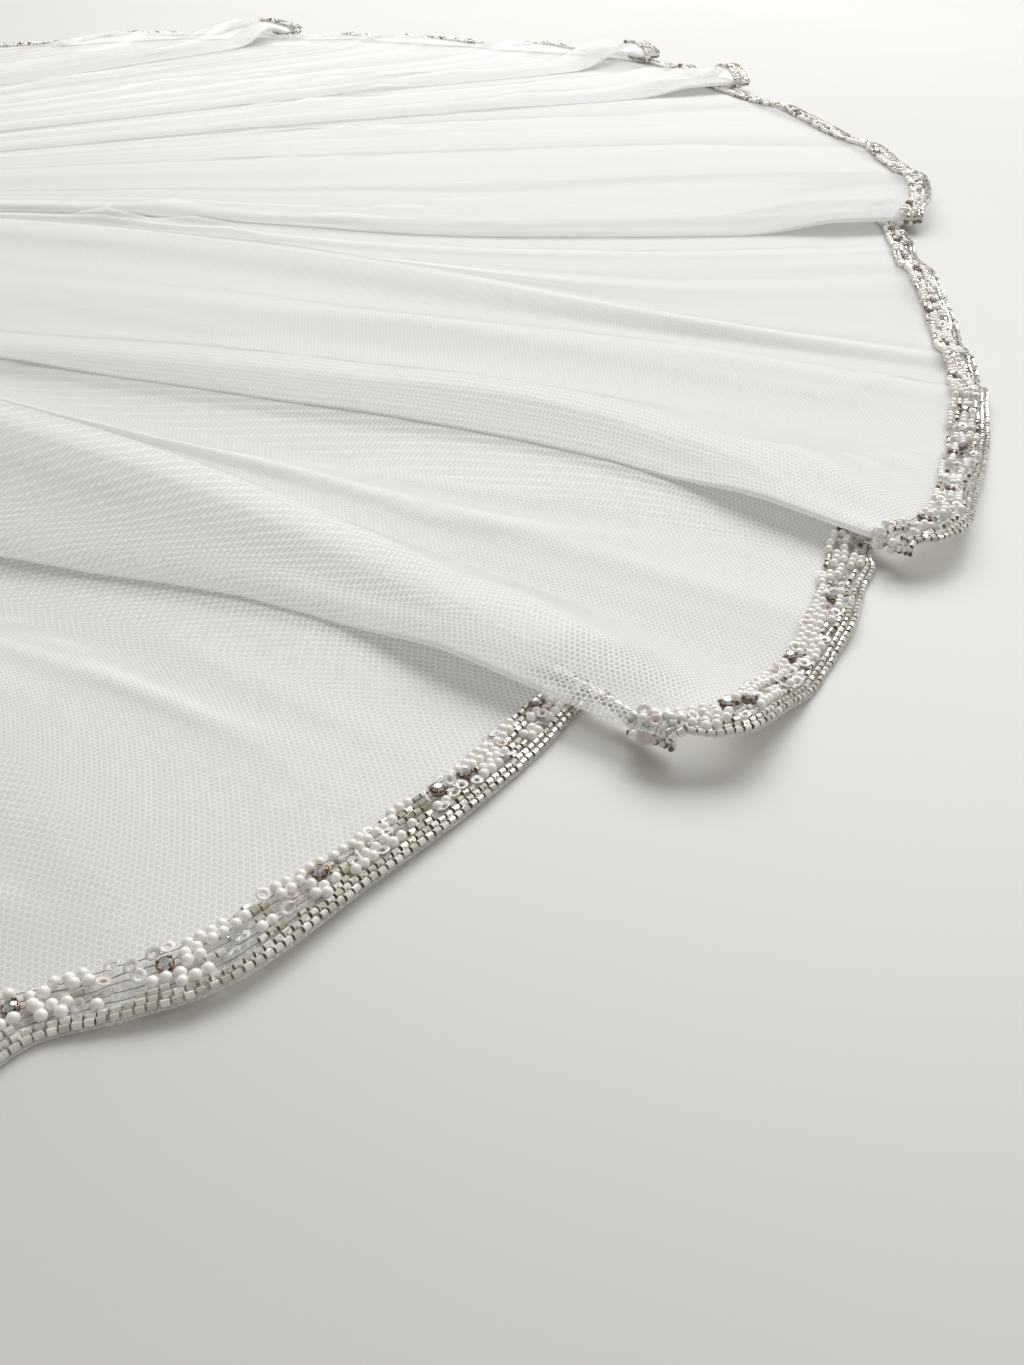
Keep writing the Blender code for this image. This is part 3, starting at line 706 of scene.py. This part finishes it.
def cupShape(radius=0.00195):
    # the metal setting: a flared cup with four claws turned over the stone
    bm = bmesh.new()
    bmesh.ops.create_cone(
        bm, cap_ends=True, segments=12, radius1=radius * 0.82, radius2=radius, depth=0.0013,
        matrix=Matrix.Translation((0, 0, 0.00065)),
    )
    top = [face for face in bm.faces if face.normal.z > 0.9]
    bmesh.ops.inset_region(bm, faces=top, thickness=0.00028, depth=-0.0003)
    for quarter in range(4):
        turn = Matrix.Rotation(pi / 4 + quarter * pi / 2, 4, "Z")
        lean = Matrix.Rotation(radians(-38), 4, "Y")
        place = turn @ Matrix.Translation((radius * 0.93, 0, 0.00155)) @ lean
        claw = place @ Matrix.Diagonal((0.0004, 0.0007, 0.0011, 1))
        made = bmesh.ops.create_cube(bm, size=1.0, matrix=claw)
        edges = list({edge for vert in made["verts"] for edge in vert.link_edges})
        bmesh.ops.bevel(
            bm, geom=edges, offset=0.00012, segments=1, profile=0.5, affect="EDGES", material=-1
        )
    return meshOf(bm, "cupShape")


def joinCopies(name, groups):
    # one mesh from many copies: groups are (shape, centres, axes, sizes, tints)
    coords, corners, starts, totals, slots, soft, tintList = [], [], [], [], [], [], []
    vertCount = loopCount = 0
    for shape, centres, axes, sizes, tints in groups:
        count = len(centres)
        if not count:
            continue
        verts = np.empty(len(shape.vertices) * 3)
        shape.vertices.foreach_get("co", verts)
        verts = verts.reshape(-1, 3)
        loops = np.empty(len(shape.loops), int)
        shape.loops.foreach_get("vertex_index", loops)
        start = np.empty(len(shape.polygons), int)
        total = np.empty(len(shape.polygons), int)
        slot = np.empty(len(shape.polygons), int)
        smooth = np.empty(len(shape.polygons), bool)
        shape.polygons.foreach_get("loop_start", start)
        shape.polygons.foreach_get("loop_total", total)
        shape.polygons.foreach_get("material_index", slot)
        shape.polygons.foreach_get("use_smooth", smooth)
        placed = np.einsum("vj,nj,njk->nvk", verts, sizes, axes) + centres[:, None, :]
        copy = np.arange(count)[:, None]
        coords.append(placed.reshape(-1, 3))
        corners.append((loops[None, :] + copy * len(verts) + vertCount).ravel())
        starts.append((start[None, :] + copy * len(loops) + loopCount).ravel())
        totals.append(np.tile(total, count))
        slots.append(np.tile(slot, count))
        soft.append(np.tile(smooth, count))
        tintList.append(np.repeat(tints, len(verts)))
        vertCount += count * len(verts)
        loopCount += count * len(loops)
    mesh = bpy.data.meshes.new(name)
    mesh.vertices.add(vertCount)
    mesh.loops.add(loopCount)
    mesh.polygons.add(sum(len(part) for part in starts))
    mesh.vertices.foreach_set("co", np.concatenate(coords).ravel())
    mesh.loops.foreach_set("vertex_index", np.concatenate(corners))
    mesh.polygons.foreach_set("loop_start", np.concatenate(starts))
    mesh.polygons.foreach_set("loop_total", np.concatenate(totals))
    mesh.polygons.foreach_set("material_index", np.concatenate(slots))
    mesh.polygons.foreach_set("use_smooth", np.concatenate(soft))
    mesh.update(calc_edges=True)
    tint = mesh.attributes.new("tint", "FLOAT", "POINT")
    tint.data.foreach_set("value", np.concatenate(tintList))
    return mesh


# The edging. Places on it are (distance along the hem, distance in from it).
edging = {
    "tubeRows": (0.0010, 0.0029),  # distances in from the hem
    "tubePitch": 0.00242,
    "strands": (0.0050, 0.0073, 0.0096, 0.0119, 0.0142),
    "strandStart": 0.0040,
    "gatheredShare": 0.76,  # how far the strands spread where the net is drawn up
    "cornerStart": 0.060,  # length left bare beside the comb
    "nearCamera": 0.50,
    "floorClear": 0.0001,  # no bead goes under the surface that the veil lies on
    "seed": 7,
}

hemPoints = borderPoints + borderWays * lay["trimWidth"]
midLine = borderPoints + borderWays * lay["trimWidth"] * 0.7
hemLengths = np.concatenate([[0.0], np.cumsum(np.linalg.norm(np.diff(midLine, axis=0), axis=1))])
hemTotal = hemLengths[-1]
cameraSpot = np.array((lay["gatherX"] + 0.650, lay["gatherY"] - 0.700, 0.195))


def onEdging(along, inward):
    # points, directions along, and normals at places on the edging
    along, inward = np.atleast_1d(along), np.atleast_1d(inward)

    def at(s):
        hem = np.stack([np.interp(s, hemLengths, hemPoints[:, k]) for k in range(3)], axis=1)
        inner = np.stack([np.interp(s, hemLengths, borderPoints[:, k]) for k in range(3)], axis=1)
        return hem + (inner - hem) * (inward / lay["trimWidth"])[:, None]

    here = at(along)
    way = at(along + 0.0006) - at(along - 0.0006)
    way /= np.linalg.norm(way, axis=1, keepdims=True) + 1e-12
    up = np.stack([np.interp(along, hemLengths, borderUps[:, k]) for k in range(3)], axis=1)
    up -= way * np.sum(way * up, axis=1, keepdims=True)
    up /= np.linalg.norm(up, axis=1, keepdims=True) + 1e-12
    return here, way, up


def axesFrom(way, up):
    side = np.cross(up, way)
    return np.stack([way, side, up], axis=1)


def spreadAt(along):
    # 1 where the net lies spread and the threads show, less where it is drawn up
    point, _, _ = onEdging(along, 0.0)
    towardsNearSide = 1 - ease(-0.530, -0.500, point[:, 1])
    patches = np.array([noise.noise((s * 3.1, 7.7, 0.0)) for s in np.atleast_1d(along)])
    wide = np.maximum(towardsNearSide, ease(0.25, 0.5, patches))
    return edging["gatheredShare"] + (1 - edging["gatheredShare"]) * wide


def offFloor(centres, reach):
    # lifts the beads that would dip into the surface
    lifted = centres.copy()
    lifted[:, 2] = np.maximum(lifted[:, 2], reach + edging["floorClear"])
    return lifted


def isNear(points):
    return np.linalg.norm(points - cameraSpot, axis=1) < edging["nearCamera"]


def placedGroups(nearShape, farShape, centres, axes, sizes, tints):
    near = isNear(centres)
    return [
        (nearShape, centres[near], axes[near], sizes[near], tints[near]),
        (farShape, centres[~near], axes[~near], sizes[~near], tints[~near]),
    ]


def makeSilverGlass():
    made, tree, shader = newMaterial(
        "silverGlass", (0.92, 0.90, 0.85), 0.2, Metallic=0.30, Coat_Weight=1.0, Coat_Roughness=0.06
    )
    tint = fromAttribute(tree, "tint")
    colourFrom(tree, shader, tint, (0.50, 0.46, 0.34), (0.97, 0.96, 0.91))
    roughFrom(tree, shader, grainOf(tree, 900.0), 0.12, 0.30)
    return made


def makePearl():
    # painted glow: a faint emission brightens the pearls, though they are no lamp
    made, tree, shader = newMaterial(
        "pearl", (0.93, 0.91, 0.86), 0.2, Coat_Weight=0.7, Coat_Roughness=0.12,
        Emission_Color=(0.95, 0.93, 0.88, 1.0), Emission_Strength=0.06,
    )
    tint = fromAttribute(tree, "tint")
    colourFrom(tree, shader, tint, (0.88, 0.845, 0.77), (0.96, 0.945, 0.91))
    return made


def makeSequin():
    made, tree, shader = newMaterial(
        "sequin", (0.93, 0.92, 0.90), 0.12, Coat_Weight=0.8, Thin_Film_Thickness=320.0
    )
    tint = fromAttribute(tree, "tint")
    colourFrom(tree, shader, tint, (0.86, 0.73, 0.68), (0.95, 0.945, 0.93), fullAt=0.3)
    tree.links.new(rangeOf(tree, tint, 0.66, 0.94), shader.inputs["Alpha"])
    return made


def makeClearGlass():
    made, tree, shader = newMaterial(
        "clearGlass", (0.95, 0.95, 0.93), 0.05, Transmission_Weight=0.85, IOR=1.5
    )
    roughFrom(tree, shader, grainOf(tree, 700.0), 0.03, 0.14)
    return made


def makeStone():
    made, tree, shader = newMaterial(
        "stone", (0.80, 0.79, 0.77), 0.04, Metallic=0.55, Coat_Weight=1.0, IOR=1.9
    )
    place = addNode(tree, "ShaderNodeTexCoord").outputs["Object"]
    # painted reflection: dark and bright cells in the base colour stand in for the facets' glints
    cells = addNode(tree, "ShaderNodeTexVoronoi", {}, {"Vector": place, "Scale": 1400.0})
    colourFrom(tree, shader, cells.outputs["Color"], (0.22, 0.20, 0.19), (0.97, 0.96, 0.95))
    return made


def makeGrained(name, roughness, grain, low, high, **sockets):
    # a plain finish whose colour wanders between two
    made, tree, shader = newMaterial(name, low, roughness, **sockets)
    colourFrom(tree, shader, grainOf(tree, *grain), low, high)
    return made


def makeCombMetal():
    made, tree, shader = newMaterial("combMetal", (0.75, 0.75, 0.76), 0.28, Metallic=1.0)
    grain = grainOf(tree, 1.0, 4.0, stretch=(40.0, 900.0, 900.0))
    roughFrom(tree, shader, grain, 0.2, 0.42)
    colourFrom(tree, shader, grain, (0.62, 0.62, 0.63), (0.84, 0.84, 0.85))
    bump = addNode(tree, "ShaderNodeBump", {}, {
        "Strength": 0.15, "Distance": 0.00005, "Height": grain,
    })
    tree.links.new(bump.outputs["Normal"], shader.inputs["Normal"])
    return made


def finishComb():
    # the comb stays as it was packed, with drawn metal wire for its finish
    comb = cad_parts["comb"]
    comb.data.materials.clear()
    comb.data.materials.append(makeCombMetal())


finishComb()
silverGlass = makeSilverGlass()
beadEnds = makeGrained("beadEnds", 0.35, (500.0,), (0.085, 0.065, 0.04), (0.27, 0.22, 0.14))
cupMetal = makeGrained("cupMetal", 0.32, (600.0, 3.0), (0.16, 0.09, 0.06), (0.58, 0.44, 0.34), Metallic=0.9)
threadYarn = makeGrained("thread", 0.6, (300.0,), (0.22, 0.20, 0.18), (0.52, 0.50, 0.46))


def tubeRowPlaces():
    alongs, inwards = [], []
    start, end = edging["cornerStart"], hemTotal - edging["cornerStart"]
    for row, inward in enumerate(edging["tubeRows"]):
        s = np.arange(start + row * edging["tubePitch"] / 2, end, edging["tubePitch"])
        alongs.append(s)
        inwards.append(np.full(len(s), inward))
    return np.concatenate(alongs), np.concatenate(inwards)


def buildTubeRows():
    draw = np.random.default_rng(edging["seed"])
    along, inward = tubeRowPlaces()
    along = along + draw.normal(0, 0.00006, len(along))
    inward = inward + draw.normal(0, 0.00007, len(along))
    point, way, up = onEdging(along, inward)
    up += draw.normal(0, 0.05, up.shape)
    way += draw.normal(0, 0.03, way.shape)
    way /= np.linalg.norm(way, axis=1, keepdims=True)
    up -= way * np.sum(way * up, axis=1, keepdims=True)
    up /= np.linalg.norm(up, axis=1, keepdims=True)
    centre = offFloor(point + up * 0.00095, 0.00085)
    sizes = np.ones((len(along), 3)) * (1 + draw.normal(0, 0.03, (len(along), 1)))
    tints = draw.uniform(0.2, 1.0, len(along))
    groups = placedGroups(
        tubeShape(8, True), tubeShape(6, False), centre, axesFrom(way, up), sizes, tints
    )
    return finishPiece(
        joinCopies("tubeRows", groups), "tubeRows", [silverGlass, beadEnds]
    )


print("threading the tube rows")
tubeRows = buildTubeRows()
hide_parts("tube_bead_rows")


# What each strand of the mixed band is threaded with: kind, chance, fewest and most in a run
runs = [
    [("tube", 0.42, 2, 4), ("pearl", 0.34, 1, 3), ("sequin", 0.14, 1, 1), ("bugle", 0.10, 1, 1)],
    [("pearl", 0.42, 1, 3), ("sequin", 0.30, 1, 2), ("tube", 0.14, 1, 2), ("bugle", 0.14, 1, 1)],
    [("tube", 0.30, 2, 3), ("pearl", 0.40, 2, 3), ("sequin", 0.22, 1, 1), ("bugle", 0.08, 1, 1)],
    [("pearl", 0.44, 2, 3), ("tube", 0.24, 2, 3), ("sequin", 0.24, 1, 2), ("bugle", 0.08, 1, 1)],
    [("pearl", 0.50, 2, 4), ("tube", 0.30, 2, 3), ("sequin", 0.20, 1, 2)],
]
beadPitch = {"tube": 0.00242, "pearl": 0.00272, "sequin": 0.0027, "bugle": 0.0050}
# How each kind sits: its middle's height over the net, how much higher it may be, how far it
# tilts, and the least height over the surface
beadSeat = {
    "tube": (0.0010, 0.0004, 0.10, 0.0010),
    "pearl": (0.0015, 0.0003, 0.30, 0.0014),
    "sequin": (0.0014, 0.0012, 0.26, 0.0012),
    "bugle": (0.0013, 0.0005, 0.15, 0.0014),
}
stones = {"fewest": 0.026, "most": 0.046, "pairChance": 0.3, "inward": 0.0118, "clear": 0.0024}


def stonePlaces():
    draw = Random(edging["seed"] + 11)
    places = []
    s = edging["cornerStart"] + 0.02
    while s < hemTotal - edging["cornerStart"] - 0.02:
        places.append((s, stones["inward"] + draw.uniform(-0.0022, 0.0012)))
        if draw.random() < stones["pairChance"]:
            places.append((s + draw.uniform(0.0065, 0.009), stones["inward"] - 0.0028))
        s += draw.uniform(stones["fewest"], stones["most"])
    return np.array(places)


def strandBeads():
    # every bead of the mixed band as (kind, along, inward, tint)
    draw = Random(edging["seed"] + 3)
    beads = []
    for strand, inward in enumerate(edging["strands"]):
        s = edging["cornerStart"] + draw.uniform(0, 0.004)
        phase = draw.uniform(0, 6)
        while s < hemTotal - edging["cornerStart"]:
            kinds = runs[strand]
            kind, _, fewest, most = draw.choices(kinds, [row[1] for row in kinds])[0]
            spread = float(spreadAt(s)[0])
            for _ in range(draw.randint(fewest, most)):
                pitch = beadPitch[kind]
                s += pitch / 2
                wave = 0.0005 * sin(s * 160 + phase) + draw.uniform(-0.00025, 0.00025)
                place = edging["strandStart"] + (inward - edging["strandStart"]) * spread + wave
                beads.append((kind, s, place, draw.random()))
                s += pitch / 2
            loose = max((spread - edging["gatheredShare"]) / (1 - edging["gatheredShare"]), 0.0)
            s += draw.uniform(0.0, 0.0005) + loose * draw.uniform(0.0, 0.0055)
    return beads


def tilted(way, up, draw, amount):
    up = up + draw.normal(0, amount, up.shape)
    up /= np.linalg.norm(up, axis=1, keepdims=True)
    way = way - up * np.sum(way * up, axis=1, keepdims=True)
    way /= np.linalg.norm(way, axis=1, keepdims=True)
    return way, up


def stoneSpots():
    places = stonePlaces()
    spread = spreadAt(places[:, 0])
    inward = edging["strandStart"] + (places[:, 1] - edging["strandStart"]) * spread
    return places[:, 0], inward


def buildMixedBand():
    draw = np.random.default_rng(edging["seed"] + 5)
    stoneAlong, stoneInward = stoneSpots()
    stonePoint, stoneWay, stoneUp = onEdging(stoneAlong, stoneInward)
    byKind = {kind: [] for kind in beadPitch}
    for kind, along, inward, tint in strandBeads():
        gap = np.hypot(stoneAlong - along, stoneInward - inward).min()
        if gap > stones["clear"]:
            byKind[kind].append((along, inward, tint))
    made = {}
    for kind, rows in byKind.items():
        along, inward, tint = np.array(rows).T
        point, way, up = onEdging(along, inward)
        base, more, tilt, reach = beadSeat[kind]
        centre = point + up * (base + more * draw.random(len(along)))[:, None]
        centre = offFloor(centre, reach)
        way, up = tilted(way, up, draw, tilt)
        sizes = np.ones((len(along), 3)) * (1 + draw.uniform(-0.08, 0.05, (len(along), 1)))
        made[kind] = (centre, axesFrom(way, up), sizes, tint)
    bugle = tubeShape(8, True, length=0.0044, radius=0.00085)
    clearGlass = makeClearGlass()
    pieces = []
    for kind, name, near, far, materials, slot in (
        ("pearl", "pearls", pearlShape(10, 7), pearlShape(7, 5), [makePearl()], "mixed_beads"),
        ("tube", "bandTubes", tubeShape(8, True), tubeShape(6, False), [silverGlass, beadEnds],
         "silver_beads"),
        ("sequin", "sequins", sequinShape(14), sequinShape(9), [makeSequin()], "mixed_beads"),
        ("bugle", "bugles", bugle, bugle, [clearGlass, clearGlass], "mixed_beads"),
    ):
        copies = joinCopies(name, placedGroups(near, far, *made[kind]))
        pieces.append(finishPiece(copies, name, materials))
    way, up = tilted(stoneWay, stoneUp, draw, 0.12)
    centre = offFloor(stonePoint + up * 0.0011, np.where(up[:, 2] < 0, 0.0031, 0.0012))
    sizes = np.ones((len(centre), 3))
    tints = draw.random(len(centre))
    axes = axesFrom(way, up)
    for name, shape, finish in (("stones", stoneShape(), makeStone()), ("cups", cupShape(), cupMetal)):
        copies = joinCopies(name, [(shape, centre, axes, sizes, tints)])
        pieces.append(finishPiece(copies, name, [finish]))
    return pieces


print("threading the mixed band")
mixedPieces = buildMixedBand()
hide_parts("mixed_bead_band")


def buildThreads():
    # one thread under each strand and each tube row
    curve = bpy.data.curves.new("threads", "CURVE")
    curve.dimensions = "3D"
    curve.bevel_depth = 0.00013
    curve.bevel_resolution = 0
    curve.use_fill_caps = True
    steps = np.arange(edging["cornerStart"], hemTotal - edging["cornerStart"], 0.003)
    spread = spreadAt(steps)
    draw = np.random.default_rng(edging["seed"] + 9)
    for inward in (*edging["tubeRows"], *edging["strands"]):
        places = np.full(len(steps), inward)
        if inward > edging["strandStart"]:
            places = edging["strandStart"] + (inward - edging["strandStart"]) * spread
            places += draw.normal(0, 0.00022, len(steps))
        point, _, up = onEdging(steps, places)
        point = offFloor(point + up * (0.00095 + draw.normal(0, 0.0001, (len(steps), 1))), 0.0002)
        spline = curve.splines.new("POLY")
        spline.points.add(len(point) - 1)
        for target, place in zip(spline.points, point):
            target.co = (*place, 1.0)
    piece = bpy.data.objects.new("threadCurve", curve)
    bpy.context.scene.collection.objects.link(piece)
    mesh = bpy.data.meshes.new_from_object(piece.evaluated_get(bpy.context.evaluated_depsgraph_get()))
    bpy.data.objects.remove(piece)
    mesh.name = "threads"
    mesh.materials.clear()
    return finishPiece(mesh, "threads", [threadYarn])


print("running the threads")
threads = buildThreads()


# The stage: a plain pale surface, soft light and the camera
stage = {
    "floorSize": 14.0,
    "floorColour": (0.70, 0.684, 0.648),
    "floorRoughness": 0.42,
    "worldColour": (1.0, 0.982, 0.935),
    "worldStrength": 0.312,
    "windowSpot": (0.50, 1.10, 1.30),
    "windowSize": (2.2, 1.2),
    "windowColour": (0.985, 0.992, 1.0),
    "windowPower": 41.0,
    "fillSpot": (1.0, -0.45, 0.8),
    "fillSize": (0.5, 0.5),
    "fillPower": 1.2,
}


def buildFloor():
    bm = bmesh.new()
    bmesh.ops.create_grid(bm, x_segments=2, y_segments=2, size=stage["floorSize"] / 2)
    mesh = bpy.data.meshes.new("floor")
    bm.to_mesh(mesh)
    bm.free()
    made, tree, shader = newMaterial("floor", stage["floorColour"], stage["floorRoughness"])
    low, high = (tuple(value * share for value in stage["floorColour"]) for share in (0.965, 1.03))
    colourFrom(tree, shader, grainOf(tree, 6.0, 6.0), low, high)
    mesh.materials.append(made)
    floor = bpy.data.objects.new("floor", mesh)
    bpy.context.scene.collection.objects.link(floor)
    return floor


def addLight(name, spot, size, power, colour=(1, 1, 1)):
    light = bpy.data.lights.new(name, "AREA")
    light.shape = "RECTANGLE"
    light.size, light.size_y = size
    light.energy = power
    light.color = colour
    made = bpy.data.objects.new(name, light)
    made.location = spot
    made.rotation_euler = (Vector((0.1, -0.1, 0.0)) - Vector(spot)).to_track_quat("-Z", "Y").to_euler()
    bpy.context.scene.collection.objects.link(made)


def addCamera():
    camera = bpy.data.cameras.new("camera")
    camera.sensor_width = 36.0
    camera.lens = 36.0 * 1250 / 1365
    camera.clip_start = 0.01
    made = bpy.data.objects.new("camera", camera)
    made.location = cameraSpot
    made.rotation_euler = (radians(54.0), 0.0, 0.0)
    bpy.context.scene.collection.objects.link(made)
    bpy.context.scene.camera = made


def lightWorld():
    world = bpy.data.worlds.new("world")
    world.use_nodes = True
    back = world.node_tree.nodes["Background"]
    back.inputs["Color"].default_value = (*stage["worldColour"], 1.0)
    back.inputs["Strength"].default_value = stage["worldStrength"]
    bpy.context.scene.world = world
    bpy.context.scene.view_settings.view_transform = "Standard"  # keeps the whites clean


print("setting the stage")
buildFloor()
addLight("window", stage["windowSpot"], stage["windowSize"], stage["windowPower"], stage["windowColour"])
addLight("fill", stage["fillSpot"], stage["fillSize"], stage["fillPower"])
addCamera()
lightWorld()
